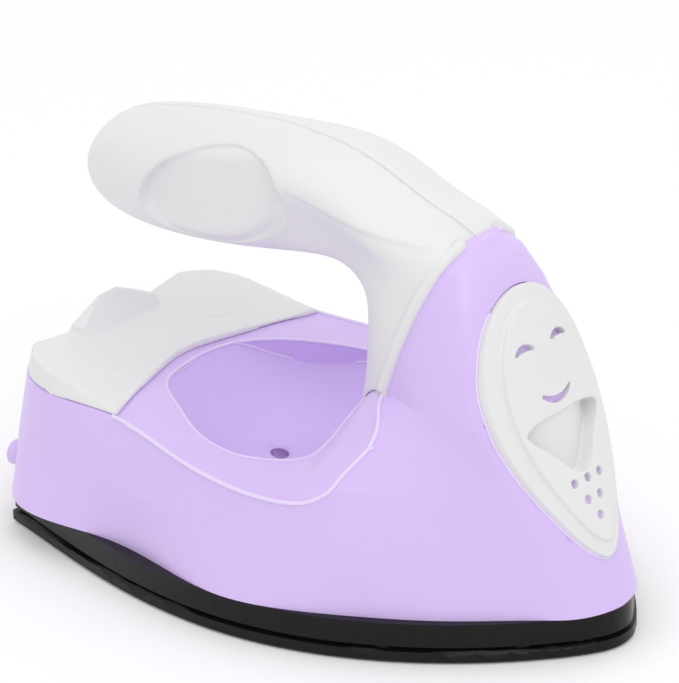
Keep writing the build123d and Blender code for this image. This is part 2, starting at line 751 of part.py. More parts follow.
def small_posts():
    """Places and heights of the small screw posts on the casting."""
    posts = [(place, sheet_low) for place in bar_places()]
    posts += [((thermostat_x, side * bracket_screw_spread), bracket_low) for side in (1, -1)]
    return posts + [(fuse_screw_place, fuse_clip_foot)]


def make_insulation_sheet():
    """Mica sheet over the element."""
    sheet = block((sheet_back, -sheet_half_width, sheet_low), (sheet_front, sheet_half_width, sheet_low + sheet_thickness))
    for place in bar_places():
        sheet -= disc(small_radius + face_clearance, place, 0, tower_top_height)
    return sheet


def make_heater_clamp():
    """Steel bar that presses the sheet and the element down."""
    low = sheet_low + sheet_thickness
    bar = block(
        (clamp_bar_x - clamp_bar_half_width, -clamp_bar_half_length, low),
        (clamp_bar_x + clamp_bar_half_width, clamp_bar_half_length, low + clamp_bar_thickness),
    )
    bar = fillet(bar.edges().filter_by(Axis.Z), clamp_bar_thickness)
    for place in bar_places():
        bar -= disc(small_radius + face_clearance, place, 0, tower_top_height)
    return bar


def make_heater_clamp_screws():
    """Two screws of the clamp bar."""
    seat = sheet_low + sheet_thickness + clamp_bar_thickness
    return small_screws([(place, seat) for place in bar_places()])


def small_screws(seats):
    """Group of small screws standing upright."""
    made = []
    for place, height in seats:
        made.append(screw((place[0], place[1], height), small_screw_length, small_radius - thread_bite, small_head_radius, small_head_height))
    return Compound(children=made)


# Snap disc thermostat at the front of the casting
thermostat_x = 33.0
cup_radius = 8.0
cup_wall = 0.5
cup_top = 9.1
disc_radius = 6.6
disc_thickness = 0.25
disc_low = 5.25
disc_ledge = 0.9
guide_low = 6.4
guide_top = 8.6
push_radius = 1.0
push_low = disc_low + disc_thickness
arm_low = 12.0
arm_thickness = 0.3
arm_half_width = 1.6
arm_reach = 5.3
hinge_reach = 4.5
button_radius = 0.8
button_height = 0.3
contact_reach = 4.4
base_radius = 7.1
base_top = 14.6
base_floor = 10.2
base_cavity_radius = 6.5
terminal_half_width = 2.2
terminal_top = 20.0
terminal_thickness = 0.4
terminal_reach = 5.9
bracket_low = cup_top
bracket_thickness = 0.8
bracket_half_length = 14.2
bracket_half_width = 9.0
bracket_screw_spread = 11.4


def around(radius, low, high):
    """Upright cylinder on the thermostat's axis."""
    return disc(radius, (thermostat_x, 0), low, high)


def make_thermostat_cup():
    """Aluminium cup that sits on the casting."""
    cup = around(cup_radius, casting_height, cup_top)
    cup -= around(cup_radius - cup_wall, disc_low, cup_top)
    return cup - around(disc_radius - disc_ledge, casting_height + cup_wall, disc_low)


def make_bimetal_disc():
    """Thin bimetal disc on the ledge of the cup."""
    return around(disc_radius, disc_low, push_low)


def make_thermostat_guide():
    """Ring that guides the push pin."""
    ring = around(cup_radius - cup_wall - face_clearance, disc_low, guide_top)
    ring -= around(disc_radius + face_clearance, disc_low, guide_low)
    return ring - around(push_radius + running_clearance, guide_low, guide_top)


def make_push_pin():
    """Ceramic pin with a round tip, between the disc and the contact arm."""
    tip = arm_low - push_radius
    return around(push_radius, push_low, tip) + Pos(thermostat_x, 0, tip) * Sphere(push_radius)


def fixed_level():
    """Top of the strip that carries the fixed contact."""
    return arm_low - 2 * button_height


def make_thermostat_base():
    """Moulded base with the cavity of the contacts."""
    base = around(base_radius, guide_top, base_top) - around(base_cavity_radius, base_floor, base_top)
    base -= around(push_radius + 2 * face_clearance, guide_top, base_top)
    room = around(base_cavity_radius + face_clearance, base_floor - overrun / 2, arm_low)
    base += room & block((0, -base_radius, base_floor - overrun / 2), (thermostat_x - hinge_reach, base_radius, arm_low))
    shelf = fixed_level() - arm_thickness
    base += room & block((thermostat_x + arm_reach, -base_radius, base_floor - overrun / 2), (sole_length, base_radius, shelf))
    return base


def make_contact_arm():
    """Springy arm with the moving contact under its end."""
    root = thermostat_x - hinge_reach + running_clearance
    arm = block((root, -arm_half_width, arm_low), (thermostat_x + arm_reach, arm_half_width, arm_low + arm_thickness))
    return arm + disc(button_radius, (thermostat_x + contact_reach, 0), arm_low - button_height, arm_low)


def make_fixed_contact():
    """Silver contact button under the moving one."""
    return disc(button_radius, (thermostat_x + contact_reach, 0), fixed_level(), arm_low - button_height)


def make_thermostat_terminals():
    """Two strips that carry the contacts and rise out of the base as tabs."""
    root = thermostat_x - hinge_reach
    back = thermostat_x - terminal_reach
    left = block((back, -arm_half_width, arm_low), (root, arm_half_width, arm_low + arm_thickness))
    left += block((back, -terminal_half_width, arm_low), (back + terminal_thickness, terminal_half_width, terminal_top))
    shelf = fixed_level()
    front = thermostat_x + terminal_reach
    start = thermostat_x + contact_reach - button_radius
    right = block((start, -arm_half_width, shelf - arm_thickness), (front, arm_half_width, shelf))
    right += block((front - terminal_thickness, -terminal_half_width, shelf - arm_thickness), (front, terminal_half_width, terminal_top))
    return Compound(children=[left, right])


def make_thermostat_bracket():
    """Steel bracket over the cup's rim."""
    corner = (thermostat_x + bracket_half_width, bracket_half_length, bracket_low + bracket_thickness)
    plate = block((thermostat_x - bracket_half_width, -bracket_half_length, bracket_low), corner)
    plate = fillet(plate.edges().filter_by(Axis.Z), bracket_thickness * 3)
    plate -= around(base_radius + face_clearance, bracket_low, bracket_low + bracket_thickness)
    for side in (1, -1):
        plate -= disc(small_radius + face_clearance, (thermostat_x, side * bracket_screw_spread), 0, tower_top_height)
    return plate


def make_thermostat_screws():
    """Two screws of the bracket."""
    seat = bracket_low + bracket_thickness
    return small_screws([((thermostat_x, side * bracket_screw_spread), seat) for side in (1, -1)])


# Thermal fuse at the heel end of the casting
fuse_start = (-44.0, 0)
fuse_length = 9.0
fuse_radius = 1.7
fuse_wire_radius = 0.5
fuse_wire_length = 3.0
fuse_axis_height = casting_height + fuse_radius
fuse_clip_half_width = 1.8
fuse_clip_thickness = 0.6
fuse_clip_foot = 5.4
fuse_screw_place = (-39.5, 5.4)


def make_thermal_fuse():
    """One-shot fuse with its two wire stubs."""
    end = (fuse_start[0] + fuse_length, 0, fuse_axis_height)
    start = (fuse_start[0], 0, fuse_axis_height)
    stub_start = (start[0] - fuse_wire_length, 0, fuse_axis_height)
    stub_end = (end[0] + fuse_wire_length, 0, fuse_axis_height)
    return rod(fuse_radius, start, end) + rod(fuse_wire_radius, stub_start, stub_end)


def make_fuse_clip():
    """Steel clip over the fuse, with a foot for its screw."""
    x = fuse_screw_place[0]
    low = (x - fuse_clip_half_width, 0)
    high = x + fuse_clip_half_width
    inner = fuse_radius + face_clearance
    outer = inner + fuse_clip_thickness
    arch = rod(outer, (low[0], 0, fuse_axis_height), (high, 0, fuse_axis_height))
    arch += block((low[0], -outer, fuse_clip_foot), (high, outer, fuse_axis_height))
    arch -= rod(inner, (low[0], 0, fuse_axis_height), (high, 0, fuse_axis_height))
    arch -= block((low[0], -inner, 0), (high, inner, fuse_axis_height))
    arch &= block((low[0], -outer, fuse_clip_foot), (high, outer, tower_top_height))
    foot_end = fuse_screw_place[1] + small_post_radius
    arch += block((low[0], inner, fuse_clip_foot), (high, foot_end, fuse_clip_foot + fuse_clip_thickness))
    return arch - disc(small_radius + face_clearance, fuse_screw_place, 0, tower_top_height)


def make_fuse_screw():
    """Screw of the fuse clip."""
    seat = (fuse_screw_place[0], fuse_screw_place[1], fuse_clip_foot + fuse_clip_thickness)
    return screw(seat, fuse_screw_length, small_radius - thread_bite, small_head_radius, small_head_height)


fuse_screw_length = 2.5


# Heat shield
def make_heat_shield():
    """Black ring between the casting and the housing."""
    ring = boat_plate(shield_inset, shield_bottom, shell_bottom)
    ring -= boat_plate(shield_inset + shield_wall, shield_bottom, shell_bottom - shield_flange_height)
    return ring - boat_plate(shield_inset + shield_wall + shield_flange_width, shield_bottom, shell_bottom)


# Indicator lamp under the hole in the dish
led_radius = 1.5
led_flange_radius = 1.7
led_flange_height = 0.8
led_length = 3.0
board_half_length = 10.0
board_half_width = 5.0
resistor_x = -24.4
resistor_y = 3.2
resistor_half_length = 1.8
resistor_radius = 0.8


def make_indicator_led():
    """Small round lamp that stands on its board."""
    top = board_low + board_thickness
    lamp = disc(led_radius, (indicator_x, 0), top, top + led_length)
    lamp = fillet(lamp.edges().sort_by(Axis.Z)[-1], led_radius * led_round_share)
    return lamp + disc(led_flange_radius, (indicator_x, 0), top, top + led_flange_height)


led_round_share = 0.9


def make_indicator_board():
    """Small board that hangs under the dish on two stakes."""
    board = block(
        (indicator_x - board_half_length, -board_half_width, board_low),
        (indicator_x + board_half_length, board_half_width, board_low + board_thickness),
    )
    for side in (1, -1):
        board -= disc(board_stake_radius + face_clearance, (indicator_x + side * board_post_spread, 0), 0, deck_height)
    return board


def make_indicator_resistor():
    """Resistor beside the lamp."""
    height = board_low + board_thickness + resistor_radius
    return rod(resistor_radius, (resistor_x - resistor_half_length, resistor_y, height), (resistor_x + resistor_half_length, resistor_y, height))


# Power inlet in the heel pegs
contact_radius = 1.2
contact_recess = 1.0
contact_collar_radius = 2.0
contact_collar_length = 0.8
contact_tail = 3.0
carrier_thickness = 3.6
carrier_half_width = 26.0
carrier_half_height = 2.8


def make_contact_carrier():
    """Moulded block behind the heel wall that carries the two contacts."""
    back = heel_face + peg_root
    carrier = block(
        (back, -carrier_half_width, peg_height - carrier_half_height),
        (back + carrier_thickness, carrier_half_width, peg_height + carrier_half_height),
    )
    end = back + carrier_thickness
    for side in (1, -1):
        for spread, radius in ((peg_half_spread, contact_radius + running_clearance), (carrier_boss_spread, small_radius + face_clearance)):
            carrier -= rod(radius, (back, side * spread, peg_height), (end, side * spread, peg_height))
    return carrier


def make_dock_contacts():
    """Brass contacts inside the pegs."""
    end = heel_face + peg_root + carrier_thickness
    contacts = []
    for side in (1, -1):
        y = side * peg_half_spread
        tip = heel_face - peg_length + contact_recess
        contact = rod(contact_radius, (tip, y, peg_height), (end + contact_tail, y, peg_height))
        contact += rod(contact_collar_radius, (end, y, peg_height), (end + contact_collar_length, y, peg_height))
        contacts.append(contact)
    return Compound(children=contacts)


def make_carrier_screws():
    """Two screws that hold the carrier to the heel wall."""
    end = heel_face + peg_root + carrier_thickness
    made = []
    for side in (1, -1):
        place = (end, side * carrier_boss_spread, peg_height)
        made.append(screw(place, carrier_screw_length, small_radius - thread_bite, small_head_radius, small_head_height, (1, 0, 0)))
    return Compound(children=made)


carrier_screw_length = 6.0


def make_body_screws():
    """Three screws from the housing into the casting."""
    made = []
    for place in screw_places:
        made.append(screw((place[0], place[1], screw_seat), body_screw_length, screw_radius - thread_bite, screw_head_radius, screw_head_height))
    return Compound(children=made)


body_screw_length = 9.0

# Leads
lead_radius = 0.9
lead_bend = 1.2
lead_step = 3.2
lead_level = 11.6
lead_lane = 27.0
contact_end = heel_face + peg_root + carrier_thickness + contact_tail


def lead(points):
    """Insulated lead through a row of points, with rounded bends."""
    path = FilletPolyline(*points, radius=lead_bend)
    return sweep(Plane(origin=points[0], z_dir=path % 0) * Circle(lead_radius), path)


def lead_points():
    """Way points of the leads between the inlet, the thermostat and the element."""
    start = contact_end + 2 * face_clearance
    tab = terminal_top - terminal_half_width
    reach = terminal_reach + lead_radius + face_clearance
    supply = [
        (start, peg_half_spread, peg_height),
        (start + lead_step, peg_half_spread, peg_height),
        (start + 3 * lead_step, lead_lane, lead_level),
        (element_front, lead_lane, lead_level),
        (thermostat_x - reach - lead_step, lead_radius, tab),
        (thermostat_x - reach, lead_radius - terminal_half_width, tab),
    ]
    pin_end = element_back - pin_length - 2 * face_clearance
    heater = [
        (thermostat_x + reach, terminal_half_width, tab),
        (thermostat_x + reach, -2 * lead_step, tab),
        (element_front, -lead_lane, lead_level),
        (element_back, -lead_lane, lead_level),
        (pin_end - lead_step, -element_spread - lead_step, element_height + lead_step / 2),
        (pin_end - lead_step, -element_spread, element_height),
        (pin_end, -element_spread, element_height),
    ]
    return supply, heater


makers = {
    "soleplate": make_soleplate,
    "heat_shield": make_heat_shield,
    "front_panel": make_front_panel,
    "heater_element": make_heater_element,
    "heater_beads": make_heater_beads,
    "heater_pins": make_heater_pins,
    "insulation_sheet": make_insulation_sheet,
    "heater_clamp": make_heater_clamp,
    "heater_clamp_screws": make_heater_clamp_screws,
    "thermostat_cup": make_thermostat_cup,
    "bimetal_disc": make_bimetal_disc,
    "thermostat_guide": make_thermostat_guide,
    "push_pin": make_push_pin,
    "thermostat_base": make_thermostat_base,
    "contact_arm": make_contact_arm,
    "fixed_contact": make_fixed_contact,
    "thermostat_terminals": make_thermostat_terminals,
    "thermostat_bracket": make_thermostat_bracket,
    "thermostat_screws": make_thermostat_screws,
    "thermal_fuse": make_thermal_fuse,
    "fuse_clip": make_fuse_clip,
    "fuse_screw": make_fuse_screw,
    "indicator_led": make_indicator_led,
    "indicator_board": make_indicator_board,
    "indicator_resistor": make_indicator_resistor,
    "contact_carrier": make_contact_carrier,
    "dock_contacts": make_dock_contacts,
    "carrier_screws": make_carrier_screws,
    "body_screws": make_body_screws,
    "handle_clamp": make_handle_clamp,
    "handle_screws": make_handle_screws,
}

parts = {name: make() for name, make in makers.items()}
parts["body_shell"] = make_body_shell()
parts["rear_cap"] = make_rear_cap()
parts["handle_left"], parts["handle_right"] = make_handle()
parts["lead_supply"], parts["lead_heater"] = [lead(points) for points in lead_points()]

os.makedirs("parts", exist_ok=True)
for name, shape in parts.items():
    export_step(shape, f"parts/{name}.step")
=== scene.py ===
# %% [markdown]
# # A mini craft iron in lavender and white
#
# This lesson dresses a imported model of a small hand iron: a black boat-shaped plate, a lavender
# housing with a finger dish, a white cap at the heel, a white arched handle and a white oval
# panel with a smile. The frame is loaded first, because every piece has to sit on it.

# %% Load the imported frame
import json
from math import cos, radians, sin, tan

import bpy
from mathutils import Matrix, Vector

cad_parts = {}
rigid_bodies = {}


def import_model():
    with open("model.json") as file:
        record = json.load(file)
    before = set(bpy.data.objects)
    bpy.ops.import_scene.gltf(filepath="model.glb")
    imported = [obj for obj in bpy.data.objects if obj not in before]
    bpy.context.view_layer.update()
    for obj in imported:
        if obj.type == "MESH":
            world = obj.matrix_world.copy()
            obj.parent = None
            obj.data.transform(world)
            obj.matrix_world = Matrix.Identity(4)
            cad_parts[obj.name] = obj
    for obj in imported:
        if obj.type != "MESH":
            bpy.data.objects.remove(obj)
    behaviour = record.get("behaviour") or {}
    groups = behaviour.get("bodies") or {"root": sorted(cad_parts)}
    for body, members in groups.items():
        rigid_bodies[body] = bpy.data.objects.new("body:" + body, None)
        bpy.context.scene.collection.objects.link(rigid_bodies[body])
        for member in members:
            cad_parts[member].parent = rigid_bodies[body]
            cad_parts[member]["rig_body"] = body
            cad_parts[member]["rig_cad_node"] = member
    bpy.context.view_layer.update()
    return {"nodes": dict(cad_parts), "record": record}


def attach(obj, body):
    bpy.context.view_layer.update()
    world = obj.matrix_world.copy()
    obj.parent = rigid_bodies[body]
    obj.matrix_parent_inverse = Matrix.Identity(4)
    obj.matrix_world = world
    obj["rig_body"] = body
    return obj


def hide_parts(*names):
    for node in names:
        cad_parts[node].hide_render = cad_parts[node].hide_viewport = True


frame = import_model()
nodes = frame["nodes"]
print("nodes in the frame:", len(nodes))

# %% [markdown]
# The photograph was measured in millimetres and Blender works in metres, so one helper turns a
# place into metres. An operator acts on all that is selected, so another helper selects one
# object only.

# %% Helpers for places and selection
def at(x, y, z):
    """Place in metres from millimetres."""
    return Vector((x, y, z)) * 0.001


def select_only(piece):
    """Make one object the selected and active one."""
    if bpy.context.object and bpy.context.object.mode != "OBJECT":
        bpy.ops.object.mode_set(mode="OBJECT")
    bpy.ops.object.select_all(action="DESELECT")
    piece.hide_set(False)
    piece.select_set(True)
    bpy.context.view_layer.objects.active = piece


# %% [markdown]
# The shells that show are moulded and smooth, and the frame's meshes are loose triangles that
# Blender shades flat. A frame mesh is never changed, so each of these shells gets a copy. Its
# doubles are merged and it is shaded smooth, except where two faces meet at a real edge. Long
# thin triangles would still drag the shading, so weighted normals let the large faces decide.

# %% Smooth copies of the crisp shells
joined_gap = 0.000002
collapsed_edge = 0.000001
large_face_weight = 80
fine_edge = 9
plain_edge = 15


def node_copy(node, name):
    """Copy of a frame node with joined triangles, which hides the node and rides on the housing."""
    select_only(nodes[node])
    bpy.ops.object.duplicate()
    piece = bpy.context.object
    piece.name = name
    piece.data.name = name
    bpy.ops.object.mode_set(mode="EDIT")
    bpy.ops.mesh.select_all(action="SELECT")
    bpy.ops.mesh.remove_doubles(threshold=joined_gap)
    bpy.ops.mesh.dissolve_degenerate(threshold=collapsed_edge)
    bpy.ops.object.mode_set(mode="OBJECT")
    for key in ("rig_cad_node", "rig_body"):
        if key in piece:
            del piece[key]
    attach(piece, "housing")
    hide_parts(node)
    return piece


def add_applied(piece, kind, **settings):
    """Add a modifier to the active piece with its settings and apply it."""
    bpy.ops.object.modifier_add(type=kind)
    modifier = piece.modifiers[-1]
    for setting, value in settings.items():
        setattr(modifier, setting, value)
    bpy.ops.object.modifier_apply(modifier=modifier.name)


def crisp_copy(node, name, edge_degrees):
    """Copy that is smooth apart from its real edges."""
    piece = node_copy(node, name)
    bpy.ops.object.shade_smooth_by_angle(angle=radians(edge_degrees))
    add_applied(piece, "WEIGHTED_NORMAL", keep_sharp=True, weight=large_face_weight)
    print(name, "has", len(piece.data.polygons), "faces")
    return piece


housing = crisp_copy("body_shell", "lavender_housing", fine_edge)
plate = crisp_copy("soleplate", "coated_plate", plain_edge)
skirt = crisp_copy("heat_shield", "black_skirt", plain_edge)

# %% [markdown]
# The white mouldings have soft, rounded edges all over: the cap, the panel and the handle. A bevel
# can't round a mesh of long triangles, so these copies are built again from small even cells and
# then relaxed. Every sharp edge melts into a small radius, and the handle's sections flow together.

# %% Soft copies of the white mouldings
relax_share = 0.5
cap_cell = 0.0004
grip_cell = 0.0005
panel_cell = 0.00025
light_rounds = 2
grip_rounds = 14


def soft_copy(node, name, cell, rounds):
    """Copy that is rebuilt from even cells and relaxed, so that all its edges are round."""
    piece = node_copy(node, name)
    add_applied(piece, "REMESH", mode="VOXEL", voxel_size=cell, use_smooth_shade=True)
    add_applied(piece, "SMOOTH", factor=relax_share, iterations=rounds)
    bpy.ops.object.shade_smooth()
    print(name, "has", len(piece.data.polygons), "faces")
    return piece


cap = soft_copy("rear_cap", "heel_cap", cap_cell, light_rounds)
grip_left = soft_copy("handle_left", "grip_left_half", grip_cell, grip_rounds)
grip_right = soft_copy("handle_right", "grip_right_half", grip_cell, grip_rounds)
face_panel = soft_copy("front_panel", "smiling_panel", panel_cell, light_rounds)

# %% [markdown]
# Both sides of the grip have a broad oval facet for the thumb. On the real handle the mould simply
# flattens the side there. The same is done here: every point of the outer skin that lies inside
# the oval sinks by a small step and is then pressed flat, and the inner skin keeps its distance.

# %% Thumb facets
facet_centre = at(-22.8, 0, 70.8)
facet_half_length = 0.0178
facet_half_height = 0.0096
facet_tilt = radians(18)
facet_level = 0.0106
facet_step = 0.0009
facet_wall = 0.0012
step_width = 0.09
outer_half = 0.003


def press_facet(piece, side):
    """Press the side of a handle half in to its facet."""
    moved = 0
    for vertex in piece.data.vertices:
        ahead = vertex.co.x - facet_centre.x
        above = vertex.co.z - facet_centre.z
        along = (ahead * cos(facet_tilt) + above * sin(facet_tilt)) / facet_half_length
        rise = (above * cos(facet_tilt) - ahead * sin(facet_tilt)) / facet_half_height
        reach = along * along + rise * rise
        if reach < 1 and vertex.co.y * side > outer_half:
            sink = facet_step * min(1, (1 - reach) / step_width)
            level = min(facet_level, vertex.co.y * side - sink)
            if vertex.normal.y * side < 0:
                level = min(vertex.co.y * side, facet_level - facet_wall)
            vertex.co.y = level * side
            moved += 1
    piece.data.update()
    select_only(piece)
    add_applied(piece, "SMOOTH", factor=relax_share, iterations=1)
    print(piece.name, "facet points", moved)


press_facet(grip_left, 1)
press_facet(grip_right, -1)

# %% [markdown]
# Ahead of the thumb the handle's top is a little wider than its column, like the cap of a
# mushroom, and a soft crease parts the two. The side below the crease is pulled in by less than a
# millimetre, most of it right under the crease and nothing further down. The crease's height along
# the iron is a shallow curve, because the top of the handle bends down to the tower.

# %% Crease under the handle's top
crease_depth = 0.0009
crease_reach = 17.0
crease_blend = 0.9
crease_height = 76.9
crease_fall = 0.255
crease_bend = 0.00424
crease_back = -5
crease_fade = 6
side_start = 6
side_fade = 4


def pull_in_side(piece, side):
    """Pull the side of a handle half in below the crease."""
    moved = 0
    for vertex in piece.data.vertices:
        x, y, z = vertex.co.x * 1000, vertex.co.y * 1000 * side, vertex.co.z * 1000
        below = crease_height - crease_fall * x + crease_bend * x * x - z
        if x > crease_back and 0 < below < crease_reach and y > side_start:
            depth = crease_depth * min(1, below / crease_blend) * (1 - below / crease_reach)
            depth *= min(1, (x - crease_back) / crease_fade) * min(1, (y - side_start) / side_fade)
            vertex.co.y -= depth * side
            moved += 1
    piece.data.update()
    select_only(piece)
    add_applied(piece, "SMOOTH", factor=relax_share, iterations=1)
    print(piece.name, "points below the crease", moved)


pull_in_side(grip_left, 1)
pull_in_side(grip_right, -1)

# %% [markdown]
# A fine raised rim runs along the edge of the deck and round the finger dish, and it catches the
# light as a pale line; the bead also gets a paler lavender further down, a painted highlight. It
# follows the housing's own edges, so those edges are picked from a copy by their sharpness and place,
# everything else is deleted, and the lines that are left become curves with a round section. Up the
# tower the edge follows a curve that was fitted to the model, and edges of the mesh away from it are
# left out, because they would show as stray stubs.

# %% Beads along real edges
def bare_copy(source, name):
    """Copy of a piece that stands for no node and rides on nothing yet."""
    select_only(source)
    bpy.ops.object.duplicate()
    piece = bpy.context.object
    piece.name = name
    for key in [key for key in piece.keys() if key.startswith("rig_")]:
        del piece[key]
    return piece


def edge_bead(source, name, radius, wanted, sharp_degrees, lowest):
    """Round bead along the sharp outer edges of a piece whose middle, in millimetres, is wanted."""
    piece = bare_copy(source, name)
    piece.data.materials.clear()
    bpy.ops.object.mode_set(mode="EDIT")
    bpy.ops.mesh.select_mode(type="EDGE")
    bpy.ops.mesh.select_all(action="DESELECT")
    bpy.ops.mesh.edges_select_sharp(sharpness=radians(sharp_degrees))
    bpy.ops.object.mode_set(mode="OBJECT")
    points = piece.data.vertices
    lowest_slope = {}
    for face in piece.data.polygons:
        for key in face.edge_keys:
            lowest_slope[key] = min(face.normal.z, lowest_slope.get(key, 1))
    for edge in piece.data.edges:
        middle = (points[edge.vertices[0]].co + points[edge.vertices[1]].co) * 500
        outside = lowest_slope[edge.key] > lowest
        edge.select = not (edge.select and outside and wanted(middle.x, abs(middle.y), middle.z))
    kept = sum(not edge.select for edge in piece.data.edges)
    bpy.ops.object.mode_set(mode="EDIT")
    bpy.ops.mesh.delete(type="EDGE")
    bpy.ops.mesh.select_all(action="SELECT")
    bpy.ops.mesh.delete(type="ONLY_FACE")
    bpy.ops.mesh.select_all(action="SELECT")
    bpy.ops.mesh.delete_loose(use_verts=True, use_edges=False, use_faces=False)
    bpy.ops.object.mode_set(mode="OBJECT")
    bpy.ops.object.convert(target="CURVE")
    line = bpy.context.object
    line.data.bevel_depth = radius
    line.data.bevel_resolution = 2
    line.data.use_fill_caps = True
    bpy.ops.object.convert(target="MESH")
    bead = bpy.context.object
    bead.name = name
    bead.data.name = name
    bpy.ops.object.shade_smooth()
    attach(bead, "housing")
    print(name, "follows", kept, "edges and has", len(bead.data.polygons), "faces")
    return bead


deck_span = (-34, 18.3)
deck_side = 26.5
deck_heights = (26, 32)
heel_seam_front = -28.5
heel_seam_height = 30.12
flank_span = (17, 23.4)
flank_sides = (12.6, 30)
flank_start = 48.08
flank_fall = 0.1714
flank_bend = 0.01369
flank_band = 1.2
tower_seam_height = 43.3
tower_seam_back = 18.2
dish_span = (-41, 12.5)
dish_heights = (26, 40)
dish_side = 26.2


def within(value, span):
    """Whether a value lies between the two ends of a span."""
    return span[0] < value < span[1]


def on_deck_edge(x, y, z):
    """Whether a place lies on the edge of the deck, ahead of the cap, or up the tower's flank."""
    if within(x, deck_span) and y > deck_side:
        return within(z, deck_heights) and (x > heel_seam_front or z > heel_seam_height)
    flank_height = flank_start - flank_fall * y - flank_bend * y * y
    beside_flank = within(x, flank_span) and within(y, flank_sides)
    clear_of_seam = z < tower_seam_height or x < tower_seam_back
    return beside_flank and abs(z - flank_height) < flank_band and clear_of_seam


def on_dish_edge(x, y, z):
    """Whether a place lies on the edge of the finger dish."""
    return within(x, dish_span) and within(z, dish_heights) and y < dish_side


deck_rim_radius = 0.00042
dish_rim_radius = 0.00027
soft_edge = 14
deck_slope = -0.3
dish_slope = -0.2
deck_rim = edge_bead(housing, "deck_rim", deck_rim_radius, on_deck_edge, soft_edge, deck_slope)
dish_rim = edge_bead(housing, "dish_rim", dish_rim_radius, on_dish_edge, soft_edge, dish_slope)

# %% [markdown]
# Where the handle meets the tower it ends in a thicker, rolled border. It follows the tower's open
# rim, which lies in one leaning plane, so the plane picks its edges.

# %% Rolled border of the handle
foot_front = 17.8
foot_height = 43.6
junction_lean = radians(23.6)
border_radius = 0.0013
border_edge = 25
any_slope = -1
rim_band = 0.5
rim_lowest = 42.5
rim_side = 5


def on_junction(x, y, z):
    """Whether a place lies on the rim of the tower, which the handle's border covers."""
    plane_x = foot_front + (z - foot_height) * tan(junction_lean)
    return abs(x - plane_x) < rim_band and z > rim_lowest and y > rim_side


border = edge_bead(housing, "handle_border", border_radius, on_junction, border_edge, any_slope)

# %% [markdown]
# A thin pale line also frames the panel, where the housing's seat has a rounded edge that catches the
# light; its bead gets the same paler lavender, a painted highlight. The same helper follows the
# seat's edges, which are found by their place in the panel's own plane.

# %% Rim of the panel's seat
seat_rim_radius = 0.00028
seat_edge = 30
seat_edge_slope = -0.7
outline_span = (-2, 54.5)
outline_half_width = 16
outline_back = 28
outline_foot = 14
panel_lean = radians(22.7)
panel_top = at(39.3, 0, 65.4)
panel_down = Vector((sin(panel_lean), 0, -cos(panel_lean)))
panel_out = Vector((cos(panel_lean), 0, sin(panel_lean)))


def panel_place(point):
    """Millimetres down the panel and across it of a point."""
    reach = (point - panel_top) * 1000
    return reach.dot(panel_down), abs(reach.y)


def on_seat_edge(x, y, z):
    """Whether a place lies near the outline of the panel."""
    down, across = panel_place(at(x, y, z))
    near_outline = within(down, outline_span) and across < outline_half_width
    return near_outline and x > outline_back and z > outline_foot


seat_rim = edge_bead(housing, "seat_rim", seat_rim_radius, on_seat_edge, seat_edge, seat_edge_slope)

# %% [markdown]
# The lavender shows through the eyes, the smile and the six holes of the panel, and in the
# photograph it lies close under the face. A sheet of the housing's own seat behind the panel is
# therefore copied and moved out. Its long triangles are first cut small, so that it can end
# cleanly between the smile and the scoop. Behind the middle hole of the top row, at the end of
# the scoop, no sheet was left, so a small round plug at the same depth fills that hole.

# %% Lavender windows behind the panel's openings
seat_span = (0, 52)
face_span = (5, 22.4)
face_half_width = 9
holes_span = (35.9, 46.5)
holes_half_width = 5.5
beside_hole = (3, 4.2)
seat_half_width = 14
seat_slope = 0.6
seat_floor = -6
window_step = 0.0019
window_thickness = 0.0003
plug_radius = 0.00083
top_hole_place = 37.1
windows = bare_copy(housing, "lavender_windows")
windows.data.name = "lavender_windows"


def keep_faces(wanted):
    """Delete every face of the windows whose middle isn't wanted."""
    bpy.ops.object.mode_set(mode="EDIT")
    bpy.ops.mesh.select_mode(type="FACE")
    bpy.ops.mesh.select_all(action="DESELECT")
    bpy.ops.object.mode_set(mode="OBJECT")
    for face in windows.data.polygons:
        face.select = not wanted(face)
    bpy.ops.object.mode_set(mode="EDIT")
    bpy.ops.mesh.delete(type="FACE")
    bpy.ops.mesh.select_all(action="SELECT")
    bpy.ops.object.mode_set(mode="OBJECT")


def on_seat(face):
    """Whether a face belongs to the floor of the panel's seat."""
    down, across = panel_place(face.center)
    depth = (face.center - panel_top).dot(panel_out) * 1000
    on_floor = face.normal.dot(panel_out) > seat_slope and depth > seat_floor
    return on_floor and within(down, seat_span) and across < seat_half_width


def behind_opening(face):
    """Whether a face lies behind the eyes and the smile or behind the holes."""
    down, across = panel_place(face.center)
    behind_face = within(down, face_span) and across < face_half_width
    behind_holes = within(down, holes_span) and across < holes_half_width
    return behind_face or behind_holes


keep_faces(on_seat)
bpy.ops.object.mode_set(mode="EDIT")
bpy.ops.mesh.subdivide(number_cuts=4)
bpy.ops.object.mode_set(mode="OBJECT")
keep_faces(behind_opening)
bpy.ops.object.mode_set(mode="EDIT")
bpy.ops.mesh.select_all(action="SELECT")
bpy.ops.transform.translate(value=panel_out * window_step)
bpy.ops.object.mode_set(mode="OBJECT")
add_applied(windows, "SOLIDIFY", thickness=window_thickness)
beside = [panel_place(vertex.co) for vertex in windows.data.vertices]
levels = [
    (vertex.co - panel_top).dot(panel_out)
    for vertex, (down, across) in zip(windows.data.vertices, beside)
    if abs(down - top_hole_place) < 1 and within(across, beside_hole)
]
plug_level = sum(levels) / len(levels)
plug_middle = panel_top + panel_down * top_hole_place / 1000 + panel_out * plug_level
turn_out = radians(90) - panel_lean
bpy.ops.mesh.primitive_cylinder_add(
    radius=plug_radius, depth=window_thickness, location=plug_middle, rotation=(0, turn_out, 0)
)
plug = bpy.context.object
bpy.ops.object.select_all(action="DESELECT")
plug.select_set(True)
windows.select_set(True)
bpy.context.view_layer.objects.active = windows
bpy.ops.object.join()
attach(windows, "housing")
print("windows have", len(windows.data.polygons), "faces")

